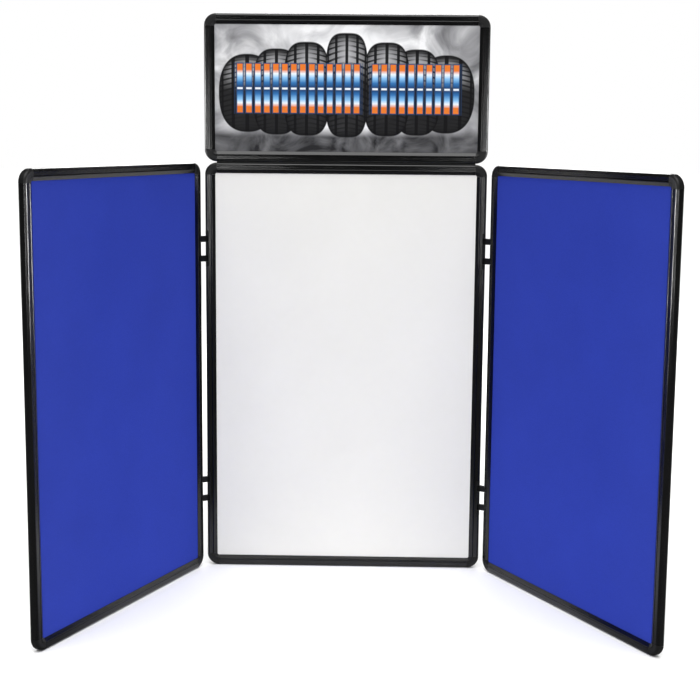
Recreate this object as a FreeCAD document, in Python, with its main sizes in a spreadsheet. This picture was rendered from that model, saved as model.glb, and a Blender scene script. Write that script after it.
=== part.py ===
# Free-standing three-panel folding display wall with a header panel.
# Millimetres, +Z up. The origin is the middle of the centre panel's foot, on its mid-plane,
# and the display faces look toward -Y.
import FreeCAD, Part
import math
import os
import Sketcher

os.makedirs("parts", exist_ok=True)
doc = FreeCAD.newDocument("display_wall")

# ---------------------------------------------------------------------------------------------
# Driving dimensions. Every other size in this file is worked out from these.
# ---------------------------------------------------------------------------------------------
DRIVING = {
    "insert_width": 609.6,        # board of every panel, 24 in
    "insert_height": 914.4,       # board of the three main panels, 36 in
    "header_insert_height": 297,  # board of the header panel
    "core_thick": 8,              # stiff board inside a panel
    "skin_thick": 1,              # fabric, print or dry-erase sheet on each side of the core
    "frame_depth": 19,            # front to back
    "frame_face": 23.5,           # width of the frame seen from the front
    "shoulder_radius": 6,         # rounding of the two outer long edges
    "wall": 1.6,                  # wall of the extrusion
    "channel_floor": 15.7,        # outer edge to the floor of the board channel
    "lip_tip": 0.8,               # thickness of a lip where it ends on the board
    "bead_width": 3,              # raised bead beside the groove
    "bead_drop": 0.4,             # how far the bead's feet lie below the frame's face
    "groove_width": 1,
    "groove_drop": 0.9,
    "corner_arm": 27,             # outer edge to the end of a corner piece, also its turning radius
    "spigot_length": 24,
    "seam": 0.3,                  # gap between a rail and a corner piece
    "board_slack": 0.3,           # board edge to channel floor
    "face_slack": 0.2,            # skin to lip
    "spigot_slack": 0.1,
    "header_gap": 2.5,            # between the centre panel and the header
    "strip_depth": 12,            # joining strip's flange, front to back
    "tongue_thick": 4,
    "tongue_reach": 10,           # how far the tongue goes into each rail
    "tongue_inset": 32,           # tongue's end to the end of the rail
    "tongue_slack": 0.15,
    "pivot_inset": 3,             # hinge pivot to the frame's outer edge
    "link_length": 23,            # pivot to pivot
    "link_radius": 3,
    "link_height": 14,
    "link_spacing": 45,           # between the two links of one hinge
    "link_slack": 0.4,
    "pin_radius": 1.5,
    "pin_slack": 0.05,
    "block_depth": 8,             # part of the frame replaced by a hinge block
    "block_height": 82,
    "block_slack": 0.1,
    "pin_length": 74,
    "upper_hinge_drop": 196.5,    # panel's top to the middle of the hinge
    "lower_hinge_left": 184,      # foot to the middle of the hinge
    "lower_hinge_right": 170,
    "link_angle": 31.4,           # links from the centre panel's plane, as set up
    "left_fold": 66.4,            # left wing from the centre panel's plane, as set up
    "right_fold": 61.7,
}

sheet = doc.addObject("Spreadsheet::Sheet", "Sizes")
for row, (alias, value) in enumerate(DRIVING.items(), start=1):
    sheet.set(f"A{row}", alias)
    sheet.set(f"B{row}", str(value))
    sheet.setAlias(f"B{row}", alias)
doc.recompute()


class Size:
    """A length that carries both its value and the spreadsheet expression that gives it."""

    def __init__(self, value, text):
        self.value = float(value)
        self.text = text

    def __add__(self, other):
        other = as_size(other)
        return Size(self.value + other.value, f"({self.text} + {other.text})")

    def __sub__(self, other):
        other = as_size(other)
        return Size(self.value - other.value, f"({self.text} - {other.text})")

    def __mul__(self, other):
        other = as_size(other)
        return Size(self.value * other.value, f"({self.text} * {other.text})")

    def __neg__(self):
        return self * -1

    __radd__ = __add__
    __rmul__ = __mul__


def as_size(number):
    return number if isinstance(number, Size) else Size(number, f"({number})")


def size(alias):
    return Size(float(sheet.get(alias)), f"Sizes.{alias}")


ZERO = as_size(0)
face = size("frame_face")
half_depth = size("frame_depth") * 0.5
arm = size("corner_arm")
seam = size("seam")
wall = size("wall")
floor = size("channel_floor")
shoulder = size("shoulder_radius")
board_half = size("core_thick") * 0.5 + size("skin_thick")
lip_inner = board_half + size("face_slack")
panel_width = size("insert_width") + 2 * (floor + size("board_slack"))
panel_height = size("insert_height") + 2 * (floor + size("board_slack"))
header_height = size("header_insert_height") + 2 * (floor + size("board_slack"))
rail_reach = arm + seam
pivot = size("pivot_inset")


# ---------------------------------------------------------------------------------------------
# Sketches, pads and pockets
# ---------------------------------------------------------------------------------------------
def new_body(name):
    body = doc.addObject("PartDesign::Body", name)
    body.Label = name
    return body


def new_sketch(body, plane, offset=ZERO):
    sketch = body.newObject("Sketcher::SketchObject", body.Name + "_sketch")
    base = [f for f in body.Origin.OriginFeatures if f.Role == plane][0]
    sketch.AttachmentSupport = [(base, "")]
    sketch.MapMode = "FlatFace"
    if offset.value:
        sketch.AttachmentOffset = FreeCAD.Placement(
            FreeCAD.Vector(0, 0, offset.value), FreeCAD.Rotation())
        sketch.setExpression("AttachmentOffset.Base.z", offset.text)
    return sketch


def hold(sketch, kind, items, amount):
    """Adds one sized constraint whose value follows the spreadsheet."""
    number = sketch.addConstraint(Sketcher.Constraint(kind, *items, amount.value))
    sketch.setExpression(f"Constraints[{number}]", amount.text)


def pin_down(sketch, geometry, end, x, y):
    if x.value:
        hold(sketch, "DistanceX", (-1, 1, geometry, end), x)
    else:
        sketch.addConstraint(Sketcher.Constraint("PointOnObject", geometry, end, -2))
    if y.value:
        hold(sketch, "DistanceY", (-1, 1, geometry, end), y)
    else:
        sketch.addConstraint(Sketcher.Constraint("PointOnObject", geometry, end, -1))


def draw_loop(sketch, points):
    """Closed outline. A point is (x, y) after a straight run or (x, y, radius, turn) after an arc,
    with turn +1 for an arc that runs counterclockwise."""
    ends = []
    for i, point in enumerate(points):
        before = points[i - 1]
        a = FreeCAD.Vector(before[0].value, before[1].value)
        b = FreeCAD.Vector(point[0].value, point[1].value)
        if len(point) == 2:
            ends.append((sketch.addGeometry(Part.LineSegment(a, b), False), 1, 2))
            continue
        radius, turn = point[2], point[3]
        chord = b - a
        side = FreeCAD.Vector(-chord.y, chord.x) * (turn / chord.Length)
        rise = math.sqrt(max(radius.value**2 - chord.Length**2 / 4, 0))
        centre = (a + b) * 0.5 + side * rise
        first, last = (a, b) if turn > 0 else (b, a)
        start = math.atan2(first.y - centre.y, first.x - centre.x)
        stop = math.atan2(last.y - centre.y, last.x - centre.x)
        circle = Part.Circle(centre, FreeCAD.Vector(0, 0, 1), radius.value)
        arc = sketch.addGeometry(Part.ArcOfCircle(circle, start, stop), False)
        ends.append((arc, 1, 2) if turn > 0 else (arc, 2, 1))
        if chord.Length > 2 * radius.value - 1e-6:
            # a half circle: its centre stands level with its ends
            sketch.addConstraint(Sketcher.Constraint("Vertical", arc, 3, arc, 1))
        else:
            hold(sketch, "Radius", (arc,), radius)
    for i, (geometry, start, stop) in enumerate(ends):
        previous = ends[i - 1]
        sketch.addConstraint(
            Sketcher.Constraint("Coincident", previous[0], previous[2], geometry, start))
        pin_down(sketch, geometry, stop, points[i][0], points[i][1])


def draw_circle(sketch, x, y, radius):
    circle = sketch.addGeometry(
        Part.Circle(FreeCAD.Vector(x.value, y.value), FreeCAD.Vector(0, 0, 1), radius.value), False)
    hold(sketch, "Radius", (circle,), radius)
    pin_down(sketch, circle, 3, x, y)


def rectangle(x0, x1, y0, y1):
    return [(x0, y0), (x1, y0), (x1, y1), (x0, y1)]


def extrude(body, kind, sketch, length, both_ways=False, turned=False):
    feature = body.newObject("PartDesign::" + kind, body.Name + "_" + kind)
    feature.Profile = sketch
    feature.Type = 0
    feature.Length = length.value
    feature.setExpression("Length", length.text)
    if both_ways:
        feature.Midplane = True
    feature.Reversed = turned
    sketch.Visibility = False
    body.Tip = feature
    return feature


def placed(x=0.0, y=0.0, z=0.0, axis=(0, 0, 1), angle=0.0):
    turn = FreeCAD.Rotation(FreeCAD.Vector(*axis), angle)
    return FreeCAD.Placement(FreeCAD.Vector(x, y, z), turn)


# ---------------------------------------------------------------------------------------------
# The frame's section: u runs inward from the outer edge, v from the mid-plane to the faces
# ---------------------------------------------------------------------------------------------
def section_outline(shift=ZERO):
    """Half-round shoulders, flat face, groove, bead, slope to the lip, and the board channel."""
    groove_start = floor - size("groove_width") - size("bead_width") * 0.5
    bead_start = groove_start + size("groove_width")
    bead_end = bead_start + size("bead_width")
    foot = half_depth - size("bead_drop")
    bead_radius = size("bead_width")
    front = [
        (groove_start, half_depth),
        (groove_start + size("groove_width") * 0.5, half_depth - size("groove_drop")),
        (bead_start, foot),
        (bead_end, foot, bead_radius, -1),
        (face, lip_inner + size("lip_tip")),
        (face, lip_inner),
        (floor, lip_inner),
    ]
    back = []
    for i in range(len(front) - 1, -1, -1):
        u, v = front[i][0], -front[i][1]
        # the arc that ends at the bead's far foot in front starts there at the back
        if i == 2:
            back.append((u, v, bead_radius, -1))
        else:
            back.append((u, v))
    outline = [(ZERO, -half_depth + shoulder, shoulder, -1), (ZERO, half_depth - shoulder)]
    outline += [(shoulder, half_depth, shoulder, -1)] + front + back + [(shoulder, -half_depth)]
    return [(p[0] + shift,) + tuple(p[1:]) for p in outline]


def chamber_outline(slack=ZERO, shift=ZERO):
    """Inside of the extrusion, or a spigot that fits it with the slack given."""
    near = wall + slack
    far = floor - wall - slack
    top = half_depth - wall - slack
    radius = shoulder - wall - slack
    outline = [
        (near, -half_depth + shoulder, radius, -1),
        (near, half_depth - shoulder),
        (shoulder, top, radius, -1),
        (far, top),
        (far, -top),
        (shoulder, -top),
    ]
    return [(p[0] + shift,) + tuple(p[1:]) for p in outline]


def rounded_board(width, height, radius):
    x, y = width * 0.5, height * 0.5
    return [
        (-x + radius, -y, radius, 1), (x - radius, -y),
        (x, -y + radius, radius, 1), (x, y - radius),
        (x - radius, y, radius, 1), (-x + radius, y),
        (-x, y - radius, radius, 1), (-x, -y + radius),
    ]


# ---------------------------------------------------------------------------------------------
# Pieces of a panel
# ---------------------------------------------------------------------------------------------
def rail(name, length, placement, hinges=(), tongue=False):
    """Extrusion along its own +Z, with u along +X. Hinges are heights above the rail's end."""
    body = new_body(name)
    sketch = new_sketch(body, "XY_Plane")
    draw_loop(sketch, section_outline())
    draw_loop(sketch, chamber_outline())
    extrude(body, "Pad", sketch, length)
    if hinges:
        cut = new_sketch(body, "XZ_Plane")
        half = size("block_height") * 0.5 + size("block_slack")
        for height in hinges:
            draw_loop(cut, rectangle(-wall, size("block_depth"), height - half, height + half))
        extrude(body, "Pocket", cut, 2 * size("frame_depth"), both_ways=True)
    if tongue:
        cut = new_sketch(body, "XZ_Plane")
        end = size("tongue_inset") - size("tongue_slack")
        draw_loop(cut, rectangle(-wall, wall * 1.5, end, length - end))
        width = size("tongue_thick") + 2 * size("tongue_slack")
        extrude(body, "Pocket", cut, width, both_ways=True)
    body.Placement = placement
    return body


def corner(name, placement):
    """Quarter turn of the section about the corner piece's own Y axis, with two spigots.
    It fills the -X, -Z quadrant, so unturned it is a bottom left corner."""
    body = new_body(name)
    sketch = new_sketch(body, "XY_Plane")
    draw_loop(sketch, section_outline(-arm))
    turn = body.newObject("PartDesign::Revolution", name + "_turn")
    turn.Profile = sketch
    turn.ReferenceAxis = (sketch, ["V_Axis"])
    turn.Angle = 90
    turn.Reversed = True
    sketch.Visibility = False
    body.Tip = turn
    reach = size("spigot_length") + seam
    outline = chamber_outline(size("spigot_slack"), -arm)
    upright = new_sketch(body, "XY_Plane")
    draw_loop(upright, outline)
    extrude(body, "Pad", upright, reach)
    level = new_sketch(body, "YZ_Plane")
    flipped = [(p[1], p[0]) + ((p[2], -p[3]) if len(p) > 2 else ()) for p in outline]
    draw_loop(level, flipped)
    extrude(body, "Pad", level, reach)
    body.Placement = placement
    return body


def board(name, height, thick, placement, drop=ZERO):
    body = new_body(name)
    sketch = new_sketch(body, "XZ_Plane")
    radius = arm - floor - size("board_slack")
    draw_loop(sketch, rounded_board(size("insert_width"), height, radius))
    extrude(body, "Pad", sketch, thick, both_ways=True)
    body.Placement = placement
    return body


def panel(name, board_height, height, base, left_hinges=(), right_hinges=(),
          tongue_top=False, tongue_bottom=False):
    """Four rails, four corner pieces, a core board and a skin on each side of it.
    The panel's own origin is the middle of its foot."""
    half = panel_width * 0.5
    upright = height - 2 * rail_reach
    level = panel_width - 2 * rail_reach
    x, z = half.value, height.value
    reach = rail_reach.value
    rail(name + "_left_rail", upright, base * placed(-x, 0, reach), left_hinges)
    rail(name + "_right_rail", upright, base * placed(x, 0, reach, angle=180), right_hinges)
    rail(name + "_bottom_rail", level, base * placed(x - reach, 0, 0, (0, 1, 0), -90),
         tongue=tongue_bottom)
    rail(name + "_top_rail", level, base * placed(-x + reach, 0, z, (0, 1, 0), 90),
         tongue=tongue_top)
    inner_x, low, high = x - arm.value, arm.value, z - arm.value
    corner(name + "_corner_bottom_left", base * placed(-inner_x, 0, low))
    corner(name + "_corner_top_left", base * placed(-inner_x, 0, high, (0, 1, 0), 90))
    corner(name + "_corner_top_right", base * placed(inner_x, 0, high, (0, 1, 0), 180))
    corner(name + "_corner_bottom_right", base * placed(inner_x, 0, low, (0, 1, 0), 270))
    core, skin = size("core_thick"), size("skin_thick")
    beside = (core.value + skin.value) / 2
    board(name + "_core_board", board_height, core, base * placed(0, 0, z / 2))
    board(name + "_front_skin", board_height, skin, base * placed(0, -beside, z / 2))
    board(name + "_back_skin", board_height, skin, base * placed(0, beside, z / 2))


# ---------------------------------------------------------------------------------------------
# Pieces of a hinge. Each works on the two hinges of one side of the centre panel.
# ---------------------------------------------------------------------------------------------
def hinge_blocks(name, middles, placement):
    """Two blocks let into the edge of a rail, with slots for the links and a bore for the pin."""
    body = new_body(name)
    depth = size("block_depth") - size("block_slack")
    tall = size("block_height")
    edge = [
        (ZERO, -half_depth + shoulder, shoulder, -1), (ZERO, half_depth - shoulder),
        (shoulder, half_depth, shoulder, -1), (depth, half_depth), (depth, -half_depth),
        (shoulder, -half_depth),
    ]
    inside = half_depth - wall - size("block_slack")
    tongue_end = floor - wall - size("block_slack")
    for middle in middles:
        sketch = new_sketch(body, "XY_Plane", middle - tall * 0.5)
        draw_loop(sketch, edge)
        extrude(body, "Pad", sketch, tall)
        sketch = new_sketch(body, "XY_Plane", middle - tall * 0.5)
        draw_loop(sketch, rectangle(depth - 0.5, tongue_end, -inside, inside))
        extrude(body, "Pad", sketch, tall)
    slots = new_sketch(body, "XZ_Plane")
    deep = pivot + size("link_radius") + size("link_slack")
    half_slot = size("link_height") * 0.5 + size("link_slack")
    for middle in middles:
        for side in (-0.5, 0.5):
            z = middle + side * size("link_spacing")
            draw_loop(slots, rectangle(-wall, deep, z - half_slot, z + half_slot))
    extrude(body, "Pocket", slots, 2 * size("frame_depth"), both_ways=True)
    for middle in middles:
        half_pin = size("pin_length") * 0.5 + size("link_slack")
        bore = new_sketch(body, "XY_Plane", middle - half_pin)
        draw_circle(bore, pivot, ZERO, size("pin_radius") + size("pin_slack"))
        extrude(body, "Pocket", bore, 2 * half_pin, turned=True)
    body.Placement = placement
    return body


def hinge_pins(name, middles, placement):
    body = new_body(name)
    for middle in middles:
        sketch = new_sketch(body, "XY_Plane", middle - size("pin_length") * 0.5)
        draw_circle(sketch, pivot, ZERO, size("pin_radius"))
        extrude(body, "Pad", sketch, size("pin_length"))
    body.Placement = placement
    return body


def hinge_links(name, middle, placement):
    """Two flat links of one hinge, running along +X from the centre panel's pin."""
    body = new_body(name)
    reach, radius = size("link_length"), size("link_radius")
    outline = [(reach, -radius), (reach, radius, radius, 1), (ZERO, radius),
               (ZERO, -radius, radius, 1)]
    for side in (-0.5, 0.5):
        bottom = middle + side * size("link_spacing") - size("link_height") * 0.5
        sketch = new_sketch(body, "XY_Plane", bottom)
        draw_loop(sketch, outline)
        for x in (ZERO, reach):
            draw_circle(sketch, x, ZERO, size("pin_radius") + size("pin_slack"))
        extrude(body, "Pad", sketch, size("link_height"))
    body.Placement = placement
    return body


def hinged_side(side, lower, fold):
    """Links, pins and blocks between the centre panel and one wing. Returns the wing's placement
    and the hinge heights above the end of the upright rails."""
    sign = -1 if side == "left" else 1
    upper = panel_height - size("upper_hinge_drop")
    middles = (lower, upper)
    half = panel_width.value / 2
    edge_pivot = half - pivot.value
    bearing = size("link_angle").value
    run = size("link_length").value
    near = FreeCAD.Vector(sign * edge_pivot, 0, 0)
    swing = math.radians(bearing)
    far = near + FreeCAD.Vector(sign * run * math.cos(swing), -run * math.sin(swing), 0)
    turn = -sign * fold.value
    wing_turn = FreeCAD.Rotation(FreeCAD.Vector(0, 0, 1), turn)
    own_pivot = FreeCAD.Vector(-sign * edge_pivot, 0, 0)
    wing_base = FreeCAD.Placement(far - wing_turn.multVec(own_pivot), wing_turn)
    # a block's u axis runs inward: away from the gap, on either side of it
    centre_edge = placed(sign * half, 0, 0, angle=180 if sign > 0 else 0)
    wing_edge = wing_base * placed(-sign * half, 0, 0, angle=180 if sign < 0 else 0)
    hinge_blocks(f"centre_{side}_hinge_blocks", middles, centre_edge)
    hinge_blocks(f"{side}_wing_hinge_blocks", middles, wing_edge)
    hinge_pins(f"centre_{side}_hinge_pins", middles, centre_edge)
    hinge_pins(f"{side}_wing_hinge_pins", middles, wing_edge)
    link_turn = 180 + bearing if sign < 0 else -bearing
    at_near = FreeCAD.Placement(near, FreeCAD.Rotation(FreeCAD.Vector(0, 0, 1), link_turn))
    hinge_links(f"{side}_upper_links", upper, at_near)
    hinge_links(f"{side}_lower_links", lower, at_near)
    return wing_base, [m - rail_reach for m in middles]


# ---------------------------------------------------------------------------------------------
# The assembly
# ---------------------------------------------------------------------------------------------
left_base, left_hinges = hinged_side("left", size("lower_hinge_left"), size("left_fold"))
right_base, right_hinges = hinged_side("right", size("lower_hinge_right"), size("right_fold"))
header_base = placed(0, 0, (panel_height + size("header_gap")).value)

insert_height = size("insert_height")
panel("centre", insert_height, panel_height, placed(), left_hinges, right_hinges, tongue_top=True)
panel("left_wing", insert_height, panel_height, left_base, right_hinges=left_hinges)
panel("right_wing", insert_height, panel_height, right_base, left_hinges=right_hinges)
panel("header", size("header_insert_height"), header_height, header_base, tongue_bottom=True)

# The strip closes the gap under the header and its tongue reaches into both rails.
strip = new_body("header_joining_strip")
flange = new_sketch(strip, "YZ_Plane")
half_strip = size("strip_depth") * 0.5
draw_loop(flange, rectangle(-half_strip, half_strip, ZERO, size("header_gap")))
extrude(strip, "Pad", flange, panel_width - 2 * rail_reach, both_ways=True)
tongue = new_sketch(strip, "YZ_Plane")
half_tongue = size("tongue_thick") * 0.5
draw_loop(tongue, rectangle(-half_tongue, half_tongue, -size("tongue_reach"),
                            size("header_gap") + size("tongue_reach")))
extrude(strip, "Pad", tongue, panel_width - 2 * (rail_reach + size("tongue_inset")), both_ways=True)
strip.Placement = placed(0, 0, panel_height.value)

doc.recompute()

# ---------------------------------------------------------------------------------------------
# Every piece is checked and written to its own file
# ---------------------------------------------------------------------------------------------
for item in doc.Objects:
    if "Invalid" in item.State or "Error" in item.State:
        raise RuntimeError(f"{item.Label} did not compute: {item.State}")

bodies = [o for o in doc.Objects if o.TypeId == "PartDesign::Body"]
for body in bodies:
    if body.Shape.isNull() or not body.Shape.isValid():
        raise RuntimeError(f"{body.Label} has no sound shape")
    body.Shape.exportStep(f"parts/{body.Label}.step")
print(len(bodies), "pieces written")
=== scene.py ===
# %% [markdown]
# # A folding display wall
# Three framed panels stand on a table like an open screen, with a header panel on top of the
# middle one. The frame, the corner pieces, the boards and the hinges come finished from the
# packed part, so this lesson is mostly about surfaces: black extrusion, moulded corners, loop
# fabric, dry-erase film and a printed header. It starts by loading the part.

# %% Load the part
import math
import bpy
from mathutils import Matrix, Quaternion, Vector


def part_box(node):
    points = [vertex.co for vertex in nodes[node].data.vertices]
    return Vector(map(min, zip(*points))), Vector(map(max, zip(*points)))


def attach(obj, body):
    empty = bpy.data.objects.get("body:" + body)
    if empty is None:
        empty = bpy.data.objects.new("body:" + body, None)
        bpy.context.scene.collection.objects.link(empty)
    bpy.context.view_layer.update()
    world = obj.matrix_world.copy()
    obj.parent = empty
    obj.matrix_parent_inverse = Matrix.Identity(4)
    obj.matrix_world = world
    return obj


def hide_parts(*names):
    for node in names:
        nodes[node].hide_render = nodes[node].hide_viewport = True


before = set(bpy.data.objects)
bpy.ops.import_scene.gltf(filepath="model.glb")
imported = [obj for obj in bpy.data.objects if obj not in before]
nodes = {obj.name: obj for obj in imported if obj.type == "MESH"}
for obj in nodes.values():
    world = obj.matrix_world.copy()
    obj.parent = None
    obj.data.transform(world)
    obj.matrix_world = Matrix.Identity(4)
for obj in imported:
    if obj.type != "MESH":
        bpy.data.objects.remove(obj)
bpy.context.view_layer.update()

# %% [markdown]
# ## The camera
# The wall is seen from a standing person's distance, a little from the right and from just above
# the wings' tops. A camera could be placed by hand and turned by eye, but aiming it at a point
# keeps the horizon level by itself; only a slight roll is then added about its own line of sight.
# No shift and no blur are needed.

# %% Camera
camera_place = Vector((0.0732, -3.2338, 1.0275))
aim_point = Vector((0.0128, 0.0, 0.5176))
camera_roll = math.radians(0.5)

camera_data = bpy.data.cameras.new("camera")
camera_data.lens = 72.57
camera_data.sensor_width = 36.0
camera = bpy.data.objects.new("camera", camera_data)
bpy.context.scene.collection.objects.link(camera)
camera.location = camera_place
camera.rotation_mode = "QUATERNION"
line_of_sight = (aim_point - camera_place).to_track_quat("-Z", "Y")
camera.rotation_quaternion = line_of_sight @ Quaternion((0, 0, 1), camera_roll)
bpy.context.scene.camera = camera
print("camera", round((aim_point - camera_place).length, 3), "m from its aim point")

# %% [markdown]
# ## A short way to write materials
# Every finish in this lesson is a Principled shader fed by a few noise or math nodes. Wiring them
# by hand takes four lines a node, so one small class keeps the tree and makes that one line: add
# a node, work out a number, blend two, shade by steps. Every pattern starts from the point on the
# surface in metres, so a grain has its real size on a large piece and on a small one.

# %% Material helper
class Finish:
    """One material: its node tree, its shader and the surface point in metres."""

    def __init__(self, name):
        self.material = bpy.data.materials.new(name)
        self.material.use_nodes = True
        self.tree = self.material.node_tree
        self.shader = self.tree.nodes["Principled BSDF"]
        self.point = self.tree.nodes.new("ShaderNodeTexCoord").outputs["Object"]

    def feed(self, socket, value):
        if isinstance(value, bpy.types.NodeSocket):
            self.tree.links.new(value, socket)
        else:
            socket.default_value = value

    def add(self, kind, inputs=(), **settings):
        node = self.tree.nodes.new("ShaderNode" + kind)
        for key, value in settings.items():
            setattr(node, key, value)
        for key, value in dict(inputs).items():
            self.feed(node.inputs[key], value)
        return node

    def set(self, **values):
        for key, value in values.items():
            self.feed(self.shader.inputs[key.replace("_", " ")], value)

    def shine(self, level):
        self.shader.inputs["Specular IOR Level"].default_value = level

    def calc(self, operation, *values):
        node = self.add("Math", operation=operation)
        for socket, value in zip(node.inputs, values):
            self.feed(socket, value)
        return node.outputs[0]

    def line(self, value, slope, start):
        """A straight line: value times slope, plus start."""
        return self.calc("MULTIPLY_ADD", value, slope, start)

    def blend(self, first, share, second):
        """A share of the first number, and the rest of the second."""
        return self.line(first, share, self.calc("MULTIPLY", second, 1.0 - share))

    def steps(self, factor, stops):
        """Colours along a number, from pairs of a position and a colour."""
        ramp = self.add("ValToRGB", {"Fac": factor})
        while len(ramp.color_ramp.elements) < len(stops):
            ramp.color_ramp.elements.new(0.5)
        for element, (position, color) in zip(ramp.color_ramp.elements, stops):
            element.position = position
            element.color = (*color, 1)
        return ramp.outputs["Color"]

    def stretched(self, x, y, z):
        return self.add("Mapping", {"Vector": self.point, "Scale": (x, y, z)}).outputs[0]

    def noise(self, scale, detail=3.0, where=None, distortion=0.0):
        node = self.add("TexNoise", {"Vector": where or self.point, "Scale": scale,
                                     "Detail": detail, "Distortion": distortion})
        return node.outputs["Fac"]

    def mix(self, factor, first, second):
        node = self.add("Mix", data_type="RGBA")
        self.feed(node.inputs["Factor"], factor)
        for key, color in (("A", first), ("B", second)):
            wired = isinstance(color, bpy.types.NodeSocket)
            self.feed(node.inputs[key], color if wired else (*color, 1))
        return node.outputs["Result"]

    def bump(self, height, distance, strength=1.0):
        node = self.add("Bump", {"Height": height, "Distance": distance, "Strength": strength})
        self.feed(self.shader.inputs["Normal"], node.outputs["Normal"])


print("a finish can", ", ".join(move for move in vars(Finish) if not move.startswith("_")))

# %% [markdown]
# ## The floor
# The wall stands on white paper. A plane that glows by itself would be whiter still, but nothing
# would shade it, and feet without a shadow seem to float, so it is ordinary matt paper. Black
# rails look black only when there is something dark for them to mirror. The paper therefore has a
# second tone that only reflections see. It is light near the wall, where the rails' low ends
# mirror it, and fades to nearly black in front.

# %% Floor
floor_side, floor_height = 60, -0.0005
paper_white = (0.94, 0.94, 0.94)
dark_up_to, light_from = -0.62, -0.3
mirrored_dark, mirrored_light = 0.08, 0.75


def deselect():
    bpy.ops.object.select_all(action="DESELECT")


deselect()
bpy.ops.mesh.primitive_plane_add(size=floor_side, location=(0, 0, floor_height))
floor = bpy.context.object
floor.name = "floor"
paper = Finish("floor_paper")
floor_depth = paper.add("SeparateXYZ", {"Vector": paper.point}).outputs["Y"]
mirrored = paper.add("MapRange", {
    "Value": floor_depth, "From Min": dark_up_to, "From Max": light_from,
    "To Min": mirrored_dark, "To Max": mirrored_light}).outputs["Result"]
in_reflections = paper.add("LightPath").outputs["Is Glossy Ray"]
paper.set(Base_Color=paper.mix(in_reflections, paper_white, mirrored), Roughness=0.9)
paper.shine(0.05)
floor.data.materials.append(paper.material)
print("floor", floor_side, "m square")

# %% [markdown]
# ## The lights
# A high, broad light fills the floor, and the floor lights the panels. One area light would fade
# with distance, so a sun with a wide angle stands for it and lights the floor evenly however far
# it runs. Tall soft boxes at the sides and on either side of the camera draw bright lines down
# the rails' rounded shoulders. They light nothing but the shine, which keeps the fabric even, and
# they stop above the ground, where the rails mirror the paper instead. A broad panel behind keeps
# the backs from going black.

# %% High light
def hang(data, place, direction):
    """Puts a light in the scene, shining along a direction."""
    light = bpy.data.objects.new(data.name, data)
    light.location = place
    light.rotation_mode = "QUATERNION"
    light.rotation_quaternion = Vector(direction).to_track_quat("-Z", "Y")
    bpy.context.scene.collection.objects.link(light)
    return light


high_light = bpy.data.lights.new("high_panel", "SUN")
high_light.energy = 3.2
high_light.angle = math.radians(60)
hang(high_light, (0, 0, 0), (0.0, 0.39, -0.92))
print("high_panel", round(high_light.energy, 2), "W per square metre")

# %% Soft boxes
def soft_box(name, place, aim, width, height, watts):
    data = bpy.data.lights.new(name, "AREA")
    data.shape = "RECTANGLE"
    data.size = width
    data.size_y = height
    data.energy = watts
    light = hang(data, place, Vector(aim) - Vector(place))
    light.visible_camera = False
    print(name, watts, "W,", width, "x", height, "m")
    return light


between_the_wings = -0.4
# place, width, height, watts
box_plan = {
    "soft_box_left": ((-2.4, -0.74, 0.76), 0.34, 0.95, 62),
    "soft_box_right": ((2.4, -0.74, 0.76), 0.34, 0.95, 62),
    "narrow_box_left": ((-1.0, -2.9, 0.82), 0.22, 0.8, 9),
    "narrow_box_right": ((1.0, -2.9, 0.82), 0.22, 0.8, 9),
}
boxes = {}
for name, (place, width, height, watts) in box_plan.items():
    aim = (0, between_the_wings, place[2])
    boxes[name] = soft_box(name, place, aim, width, height, watts)
    boxes[name].visible_diffuse = False
soft_box("back_panel", place=(0, 4.2, 2.6), aim=(0, 0, 0.5), width=3.2, height=1.8, watts=150)

# %% [markdown]
# ## Flags
# Each side box would also glare on the outer edge of the wing next to it. On a set, a black card
# called a flag stands between the light and such a spot. A card here would show from the side and
# throw its own shadow on the floor, so light linking does it: a collection lists the pieces that
# the light skips.

# %% Flags
for side in ("left", "right"):
    box = boxes["soft_box_" + side]
    flagged = bpy.data.collections.new("flagged_from_" + box.name)
    for name in nodes:
        if name.startswith(side + "_wing"):
            flagged.objects.link(nodes[name])
    box.light_linking.receiver_collection = flagged
    for kept_dark in flagged.collection_objects:
        kept_dark.light_linking.link_state = "EXCLUDE"

# %% [markdown]
# ## The world
# The surroundings have to be three strengths at once: white where the camera sees past the floor,
# softer as a light, and nearly black as something for the rails to mirror. A single background
# gives only one of them, so three are mixed by the kind of ray that asks. The Standard view keeps
# white paper white.

# %% World
world = bpy.data.worlds.new("studio")
bpy.context.scene.world = world
world.use_nodes = True
sky = world.node_tree
sky.nodes.clear()
rays = sky.nodes.new("ShaderNodeLightPath")
whites = {"seen": 1.0, "lighting": 0.38, "mirrored": 0.03}
glows = {}
for use, strength in whites.items():
    glow = sky.nodes.new("ShaderNodeBackground")
    glow.inputs["Color"].default_value = (1, 1, 1, 1)
    glow.inputs["Strength"].default_value = strength
    glows[use] = glow.outputs[0]


def by_ray(kind, otherwise, chosen):
    """One surround for a kind of ray, and another for all the rest."""
    mixed = sky.nodes.new("ShaderNodeMixShader")
    for socket, source in zip(mixed.inputs, (rays.outputs[kind], otherwise, chosen)):
        sky.links.new(source, socket)
    return mixed.outputs[0]


unseen = by_ray("Is Glossy Ray", glows["lighting"], glows["mirrored"])
surround = by_ray("Is Camera Ray", unseen, glows["seen"])
sky.links.new(surround, sky.nodes.new("ShaderNodeOutputWorld").inputs["Surface"])
bpy.context.scene.view_settings.view_transform = "Standard"
print("world", whites)

# %% [markdown]
# ## Dressing the part's own pieces
# A piece that comes with the part keeps its mesh, and only its material slot changes. Each piece
# could be dressed on its own line, but pieces of one kind share a word in their names, so a
# finish reaches all of them in one call.

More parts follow.
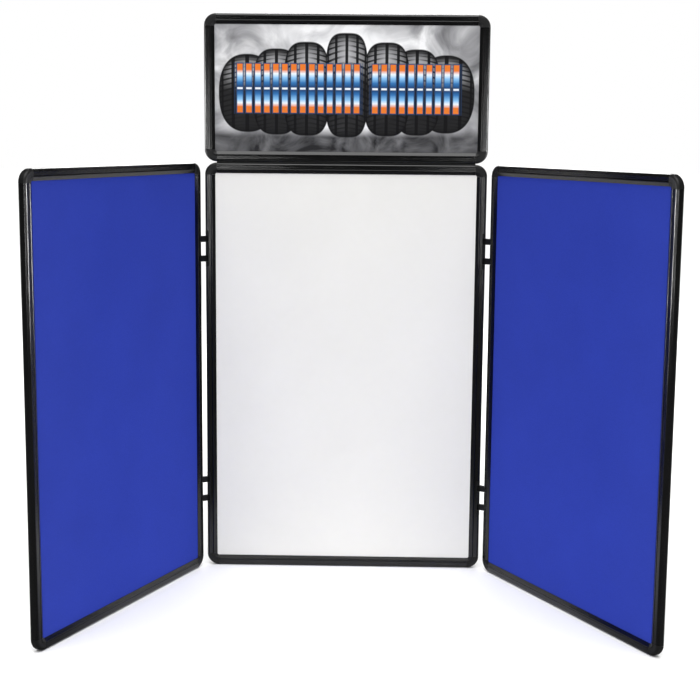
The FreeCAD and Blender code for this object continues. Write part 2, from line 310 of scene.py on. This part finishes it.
# %% Dressing helpers
def wear(node_names, finish):
    """Gives carried-over nodes their finish."""
    for name in node_names:
        mesh = nodes[name].data
        mesh.materials.clear()
        mesh.materials.append(finish.material)
    print(finish.material.name, "on", len(node_names), "nodes")


def named(word):
    return [name for name in nodes if word in name]


print(len(named("_rail")), "rails and", len(named("_corner_")), "corner pieces")

# %% [markdown]
# ## Black extrusion
# The rails are one black extrusion with a satin coat. Drawing through a die leaves faint lines
# along the length, so the noise is stretched: hardly any change along a rail, quick change across
# it. Upright and level rails run in different directions, which is why the finish comes in two
# versions.

# %% Rail finish
across_a_rail, along_a_rail = 3000, 5
black, worn_black = (0.0015, 0.0015, 0.0016), (0.0035, 0.0035, 0.0036)
smoothest, unevenness = 0.1, 0.06
line_depth = 0.00009


def rail_finish(name, squeeze):
    finish = Finish(name)
    die_lines = finish.noise(scale=1.0, detail=2.0, where=finish.stretched(*squeeze))
    haze = finish.noise(scale=14.0, detail=4.0)
    uneven = [finish.calc("MULTIPLY", pattern, unevenness) for pattern in (die_lines, haze)]
    finish.set(Base_Color=finish.steps(haze, [(0.3, black), (0.75, worn_black)]),
               Roughness=finish.calc("ADD", finish.calc("ADD", *uneven), smoothest))
    finish.shine(0.5)
    finish.bump(die_lines, distance=line_depth)
    return finish


upright_rail = rail_finish("rail_upright", (across_a_rail, across_a_rail, along_a_rail))
level_rail = rail_finish("rail_level", (along_a_rail, along_a_rail, across_a_rail))
wear(named("left_rail") + named("right_rail"), upright_rail)
wear(named("top_rail") + named("bottom_rail"), level_rail)

# %% [markdown]
# ## Moulded corners and hinge parts
# The corner pieces are injection moulded in a charcoal plastic with a fine spark-eroded grain. A
# grain like that is a fraction of a millimetre, so a small-scale noise drives both the bump and a
# little of the colour. The hinge parts and the joining strip are the same kind of plastic in
# other shades of black, so all three come from one recipe.

# %% Corner, hinge and strip finish
grain_depth = 0.00005
cool_cast = 1.03


def moulded_finish(name, dark, light, roughness):
    finish = Finish(name)
    grain = finish.noise(scale=2600.0, detail=2.0)
    cloud = finish.noise(scale=30.0, detail=3.0)
    shade = finish.steps(finish.blend(grain, 0.5, cloud), [
        (0.35, (dark, dark, dark * cool_cast)), (0.7, (light, light, light * cool_cast))])
    finish.set(Base_Color=shade, Roughness=finish.line(grain, 0.15, roughness))
    finish.shine(0.3)
    finish.bump(grain, distance=grain_depth, strength=0.6)
    return finish


wear(named("_corner_"), moulded_finish("corner_plastic", 0.005, 0.009, 0.38))
wear(named("hinge_blocks") + named("_links"), moulded_finish("hinge_plastic", 0.003, 0.006, 0.45))
wear(["header_joining_strip"], moulded_finish("strip_plastic", 0.004, 0.008, 0.38))

# %% [markdown]
# ## Hinge pins
# The pins are ground steel. Grinding runs round them, so the roughness changes quickly along a
# pin and slowly across it. Little of them shows, so one stretched noise is enough.

# %% Pin finish
pin_finish = Finish("pin_steel")
ground_rings = pin_finish.noise(scale=1.0, detail=2.0, where=pin_finish.stretched(300, 300, 4000))
pin_finish.set(Base_Color=(0.55, 0.55, 0.57, 1), Metallic=1.0,
               Roughness=pin_finish.line(ground_rings, 0.15, 0.2))
wear(named("hinge_pins"), pin_finish)

# %% [markdown]
# ## Dry-erase board
# The middle panel is a white film that pens wipe off. It is almost flat in colour; what gives it
# away is a soft shine and the faint grey haze that wiping leaves. Both come from low, wide noise.

# %% Dry-erase finish
hazy_white, clean_white = (0.825, 0.815, 0.765), (0.855, 0.845, 0.795)
haze_depth = 0.00002

white_board = Finish("dry_erase_film")
wiped = white_board.noise(scale=5.0, detail=5.0, distortion=0.6)
fine_haze = white_board.noise(scale=60.0, detail=3.0)
haze = white_board.blend(fine_haze, 0.25, wiped)
white_board.set(Base_Color=white_board.steps(haze, [(0.3, hazy_white), (0.7, clean_white)]),
                Roughness=white_board.line(wiped, 0.12, 0.42))
white_board.shine(0.35)
white_board.bump(fine_haze, distance=haze_depth, strength=0.4)
wear(["centre_front_skin"], white_board)

# %% [markdown]
# ## Board core
# Between the skins is a paper core. The rails' lips hide nearly all of it, so a mottled, dull
# brown is enough.

# %% Core finish
dark_paper, light_paper = (0.33, 0.24, 0.15), (0.45, 0.34, 0.22)

core_finish = Finish("board_core")
fibres = core_finish.noise(scale=220.0, detail=4.0)
core_finish.set(Base_Color=core_finish.steps(fibres, [(0.3, dark_paper), (0.7, light_paper)]),
                Roughness=0.9)
wear(named("core_board"), core_finish)

# %% [markdown]
# ## Loop fabric
# The wings are covered in the loop fabric that hook tape grips. Close up it is a carpet of tiny
# tangled loops; from afar it is one flat royal blue with a soft sheen at a slant. Cells a little
# over a millimetre wide make the loops, and a wider noise keeps the colour from being dead even.
# It works in three directions at once, so it needs no unwrapping and doesn't mind that the wings
# stand at an angle. The backs wear the same fabric in grey.

# %% Fabric finish
loops_per_metre = 720.0
pile_depth = 0.0004


def loop_fabric(name, deep, bright, sheen):
    finish = Finish(name)
    loops = finish.add("TexVoronoi", {"Vector": finish.point, "Scale": loops_per_metre,
                                      "Randomness": 1.0}).outputs["Distance"]
    tangle = finish.noise(scale=1500.0, detail=3.0)
    brushed = finish.noise(scale=7.0, detail=3.0)
    pile = finish.blend(loops, 0.6, tangle)
    shade = finish.blend(brushed, 0.3, pile)
    finish.set(Base_Color=finish.steps(shade, [(0.2, bright), (0.7, deep)]), Roughness=0.92,
               Sheen_Weight=0.12, Sheen_Roughness=0.5, Sheen_Tint=(*sheen, 1))
    finish.shine(0.15)
    finish.bump(finish.calc("SUBTRACT", 1.0, pile), distance=pile_depth, strength=0.7)
    print(name, "with", int(loops_per_metre), "loops to the metre")
    return finish


blue_loop = loop_fabric("blue_loop_fabric", deep=(0.0165, 0.038, 0.355),
                        bright=(0.0245, 0.0535, 0.47), sheen=(0.35, 0.42, 1.0))
grey_loop = loop_fabric("grey_loop_fabric", deep=(0.05, 0.05, 0.053),
                        bright=(0.085, 0.085, 0.09), sheen=(0.7, 0.7, 0.72))

# %% [markdown]
# ## Where a board faces
# A cover lies exactly in its board's plane, and the wings stand at an angle. The angle could be
# copied as a number, but reading it from the board's own largest flat side stays right when the
# wall is set up differently. The two skins of a panel tell which side is its front.

# %% Facing helpers
def facing(node):
    """Unit normal of the node's largest flat side, and the middle of its box."""
    sides = {}
    for polygon in nodes[node].data.polygons:
        key = tuple(round(v, 2) for v in polygon.normal)
        sides[key] = sides.get(key, Vector()) + polygon.normal * polygon.area
    best = max(sides.values(), key=lambda side: side.length)
    low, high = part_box(node)
    return best.normalized(), (low + high) / 2


def face_of(panel):
    """Direction the panel's display side looks: from its back skin to its front skin."""
    front = facing(panel + "_front_skin")[1]
    back = facing(panel + "_back_skin")[1]
    return (front - back).normalized()


for panel in ("centre", "left_wing", "right_wing"):
    print(panel, "faces", [round(v, 3) for v in face_of(panel)])

# %% [markdown]
# ## Fabric covers
# Each cover is a sheet cut to the board's size and stretched flat over it. The solid in the part
# has the right size but sharp machine edges. A new sheet is started as a plane at the board's
# size, its corners are rounded, it gets the cloth's thickness, and its rim is eased so the edge
# rolls as cut cloth does. It is made lying at the origin, where its width and height are easy to
# give, and then stood up where the board's own flat face says.

# %% Sheet maker
cloth_thick = 0.001
corner_radius, corner_segments = 0.011, 6
rim_radius, rim_segments = 0.0003, 2
square_on = 0.01


def flat_size(skin, normal):
    """Width and height of an upright board, from the box round it.

    Round a turned board the box's diagonal is longer than the board, as it takes in some of the
    thickness at both ends."""
    low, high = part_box(skin)
    width = high.x - low.x
    if abs(normal.x) > square_on:
        width = math.hypot(width, high.y - low.y) - cloth_thick * abs(normal.x * normal.y) * 2
    return width, high.z - low.z


def cut_sheet(name, width, height):
    """A sheet of cloth lying at the origin."""
    deselect()
    bpy.ops.mesh.primitive_plane_add(size=1)
    sheet = bpy.context.object
    sheet.name = name
    sheet.scale = (width, height, 1)
    bpy.ops.object.transform_apply(location=False, rotation=False, scale=True)
    bpy.ops.object.mode_set(mode="EDIT")
    bpy.ops.mesh.select_all(action="SELECT")
    bpy.ops.mesh.bevel(offset=corner_radius, segments=corner_segments, affect="VERTICES")
    bpy.ops.object.mode_set(mode="OBJECT")
    solid = sheet.modifiers.new("thickness", "SOLIDIFY")
    solid.thickness = cloth_thick
    solid.offset = 0
    bpy.ops.object.modifier_apply(modifier=solid.name)
    ease = sheet.modifiers.new("rim", "BEVEL")
    ease.width = rim_radius
    ease.segments = rim_segments
    ease.limit_method = "ANGLE"
    bpy.ops.object.modifier_apply(modifier=ease.name)
    return sheet


print("cloth", cloth_thick * 1000, "mm thick, corners of", corner_radius * 1000, "mm")

# %% Covers
upwards = Vector((0, 0, 1))


def cover(panel, side, name, finish):
    skin = f"{panel}_{side}_skin"
    outward = face_of(panel) if side == "front" else -face_of(panel)
    normal, middle = facing(skin)
    if normal.dot(outward) < 0:
        normal = -normal
    width, height = flat_size(skin, normal)
    sheet = cut_sheet(name, width, height)
    stand = Matrix((upwards.cross(normal), upwards, normal)).transposed().to_4x4()
    sheet.data.transform(Matrix.Translation(middle) @ stand)
    sheet.data.materials.append(finish.material)
    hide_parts(skin)
    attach(sheet, panel)
    print(name, round(width, 4), "x", round(height, 4), "m")


for panel in ("left_wing", "right_wing"):
    cover(panel, "front", panel + "_fabric", blue_loop)
for panel in ("centre", "left_wing", "right_wing", "header"):
    cover(panel, "back", panel + "_back_fabric", grey_loop)

# %% [markdown]
# ## Header print
# The header carries a printed sheet: smoke over a dark ground, a row of tyres that grow towards
# the middle, and two groups of colour bars from orange through white to blue, which stand where
# the heading's words would be. It is drawn in the material itself from the point's place on the
# sheet, so it stays sharp at any distance and needs no picture file. The drawing is a long sum,
# so the sums get short names first.

# %% Header print: sums
art = Finish("header_print")


def plus(first, second):
    return art.calc("ADD", first, second)


def minus(first, second):
    return art.calc("SUBTRACT", first, second)


def times(first, second):
    return art.calc("MULTIPLY", first, second)


def over(first, second):
    return art.calc("DIVIDE", first, second)


def power(base, exponent):
    return art.calc("POWER", base, exponent)


def size_of(value):
    """The number without its sign."""
    return art.calc("ABSOLUTE", value)


def at_least(least, value):
    return art.calc("MAXIMUM", least, value)


def held(value):
    """Keeps a number between 0 and 1."""
    return art.calc("MINIMUM", 1.0, at_least(0.0, value))


print("sums ready for", art.material.name)

# %% [markdown]
# ### Place on the sheet
# Everything is measured from the middle of the sheet, across it and up it. The sheet is flat, so
# the depth is set to nothing, and the noise can't change through its thickness.

# %% Header print: place on the sheet
print_low, print_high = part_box("header_front_skin")
split = art.add("SeparateXYZ", {"Vector": art.point})
across = split.outputs["X"]
up = minus(split.outputs["Z"], (print_low.z + print_high.z) / 2)
on_sheet = art.add("CombineXYZ", {"X": across, "Y": 0.0, "Z": up}).outputs[0]
print("print", round(print_high.x - print_low.x, 4), "x", round(print_high.z - print_low.z, 4), "m")

# %% [markdown]
# ### Smoke and ground
# Smoke is two noises, one fine and twisted, one broad. It is lifted by a glow behind the drums,
# whose strength falls with the distance from a point above the middle, taken in an ellipse. Below
# a level line the smoke gives way to a dark, cracked ground.

# %% Header print: smoke
glow_height, glow_half_width, glow_half_height = 0.07, 0.33, 0.27
smoke_dark, smoke_grey, smoke_light = (0.07, 0.07, 0.075), (0.36, 0.36, 0.37), (0.86, 0.86, 0.86)

billows = art.noise(scale=9.0, detail=9.0, where=on_sheet, distortion=1.4)
veil = art.noise(scale=3.0, detail=3.0, where=on_sheet, distortion=0.5)
sideways = over(size_of(across), glow_half_width)
upward = over(size_of(minus(up, glow_height)), glow_half_height)
from_glow = art.calc("SQRT", plus(power(sideways, 2.0), power(upward, 2.0)))
smoke = art.line(minus(1.0, from_glow), 0.3, art.blend(billows, 0.62, veil))
picture = art.steps(smoke, [(0.4, smoke_dark), (0.54, smoke_grey), (0.7, smoke_light)])
print("glow", glow_height, "m above the middle")

# %% Header print: ground
ground_line, ground_fade, ground_rounding = -0.085, 45.0, 0.2
ground_dark, ground_light = (0.02, 0.02, 0.022), (0.17, 0.17, 0.175)

cracks = art.noise(scale=12.0, detail=8.0, where=on_sheet, distortion=2.0)
ground = art.steps(cracks, [(0.35, ground_dark), (0.7, ground_light)])
below_line = at_least(0.0, times(minus(ground_line, up), ground_fade))
picture = art.mix(art.calc("SMOOTH_MIN", 1.0, below_line, ground_rounding), picture, ground)
print("ground", round(ground_line + (print_high.z - print_low.z) / 2, 4), "m high")

# %% [markdown]
# ### Ribbed drums
# The tyres are drawn as ribbed drums. A drum's outline is a power curve, which is squarer the
# higher the power. Its ribs run round it and crowd together towards its sides. An arc sine gives
# just that, because it turns a place on the flat picture into an angle round the drum.

# %% Header print: edges and grooves
soft_edge, groove_steepness = 0.0012, 5.0


def inside(distance, edge=soft_edge):
    """1 within a shape and 0 outside it, from a distance that is negative inside."""
    return held(art.line(distance, -1.0 / edge, 0.5))


def cut(wave, from_height):
    """A sharp-edged groove where a wave rises above a height."""
    return held(times(minus(wave, from_height), groove_steepness))


print("edges", soft_edge * 1000, "mm soft")

# %% Header print: one drum
rib_count, slot_count, slot_slant = 12.5, 46.0, 7.0
light_height, light_spread = 0.55, 0.5
rubber_tones = [(0.0, (0.002, 0.002, 0.003)), (0.3, (0.016, 0.016, 0.017)),
                (0.55, (0.08, 0.08, 0.082)), (1.0, (0.42, 0.42, 0.43))]


def drum(picture, centre_x, centre_z, half_width, half_height, squareness):
    u = over(minus(across, centre_x), half_width)
    v = over(minus(up, centre_z), half_height)
    off_centre = size_of(u)
    reach = plus(power(off_centre, squareness), power(size_of(v), squareness))
    round_u = art.calc("ARCSINE", times(u, 0.97))
    round_v = art.calc("ARCSINE", times(v, 0.98))
    grooves = cut(art.calc("COSINE", times(round_u, rib_count)), 0.6)
    slant = art.line(round_v, slot_count, times(power(off_centre, 1.5), slot_slant))
    slots = times(cut(art.calc("SINE", slant), 0.35), art.line(off_centre, 0.9, 0.1))
    from_light = over(size_of(minus(v, light_height)), light_spread)
    lit = at_least(0.0, minus(1.0, power(from_light, 2.0)))
    lit = times(lit, art.line(off_centre, -0.55, 1.0))
    dust = times(minus(smoke, 0.4), 0.35)
    rim_shade = power(art.calc("MINIMUM", 1.0, reach), 6.0)
    tone = plus(art.line(lit, 0.7, 0.22), dust)
    for shade in (times(grooves, 0.8), times(slots, 0.75), rim_shade):
        tone = times(tone, minus(1.0, shade))
    outline = inside(times(minus(reach, 1.0), half_width * 0.33))
    return art.mix(outline, picture, art.steps(tone, rubber_tones))


print("drum lit from", light_height, "of its half height")

# %% Header print: the row of drums
# distance from the middle, half width, half height, rise, squareness
side_drums = ((0.224, 0.064, 0.0866, -0.011, 2.4),
              (0.158, 0.053, 0.0955, -0.0075, 3.0),
              (0.09, 0.052, 0.104, -0.001, 3.2))
for place, half_width, half_height, rise, squareness in side_drums:
    for side in (-1, 1):
        picture = drum(picture, side * place, rise, half_width, half_height, squareness)
picture = drum(picture, 0.0, 0.0075, 0.048, 0.1155, 3.6)
print(2 * len(side_drums) + 1, "drums")

# %% [markdown]
# ### Colour bars
# Plain upright bars stand where a heading would be, in a long group and a short one. Two dozen
# shapes could be drawn one by one, but the fraction of the distance along, counted in bars,
# starts again at every bar, so one shape is enough. Past the gap the count is set back by the
# gap's width, and the gap itself is left out.

# %% Header print: the bars' outline
bar_pitch, bar_half, band_half = 0.02025, 0.0062, 0.054
band_start, group_gap_at, group_gap, bars_in_all = -0.2505, 0.0435, 0.021, 24
half_run = bars_in_all * bar_pitch / 2

past_gap = art.calc("GREATER_THAN", across, group_gap_at)
along = minus(minus(across, band_start), times(past_gap, group_gap))
from_bar = times(size_of(minus(art.calc("FRACT", over(along, bar_pitch)), 0.5)), bar_pitch)
beyond_bar = minus(from_bar, bar_half)
beyond_band = minus(size_of(up), band_half)
in_gap = minus(group_gap / 2, size_of(minus(across, group_gap_at)))
beyond_ends = minus(size_of(minus(along, half_run)), half_run)
beyond = beyond_bar
for further in (beyond_band, in_gap, beyond_ends):
    beyond = at_least(beyond, further)
print(bars_in_all, "bars over", round(2 * half_run + group_gap, 3), "m")

# %% Header print: the bars' colours
orange, pale, sky_blue = (0.78, 0.19, 0.022), (0.8, 0.87, 0.93), (0.25, 0.53, 0.82)
blue, deep, outline_blue = (0.03, 0.17, 0.44), (0.008, 0.045, 0.15), (0.02, 0.06, 0.16)
outline_width, outline_edge = 0.0022, 0.003

up_the_band = over(plus(up, band_half), 2 * band_half)
bars = art.steps(up_the_band, [
    (0.0, orange), (0.12, orange), (0.2, pale), (0.27, sky_blue), (0.38, blue), (0.47, deep),
    (0.485, pale), (0.51, pale), (0.525, deep), (0.62, blue), (0.72, sky_blue), (0.8, pale),
    (0.88, orange), (1.0, orange)])
picture = art.mix(inside(minus(beyond, outline_width), outline_edge), picture, outline_blue)
picture = art.mix(inside(beyond), picture, bars)
print("outline", outline_width * 1000, "mm wide")

# %% [markdown]
# ### Ink on film
# The print is a satin film: hardly any mirror shine, a roughness that wanders a little, and the
# slightest ripple.

# %% Header print: surface
ripple_depth = 0.00002
art.set(Base_Color=picture, Roughness=art.line(art.noise(scale=40.0, detail=3.0), 0.08, 0.42))
art.shine(0.12)
art.bump(art.noise(scale=900.0, detail=2.0), distance=ripple_depth, strength=0.5)
wear(["header_front_skin"], art)

# %% [markdown]
# ## Closing
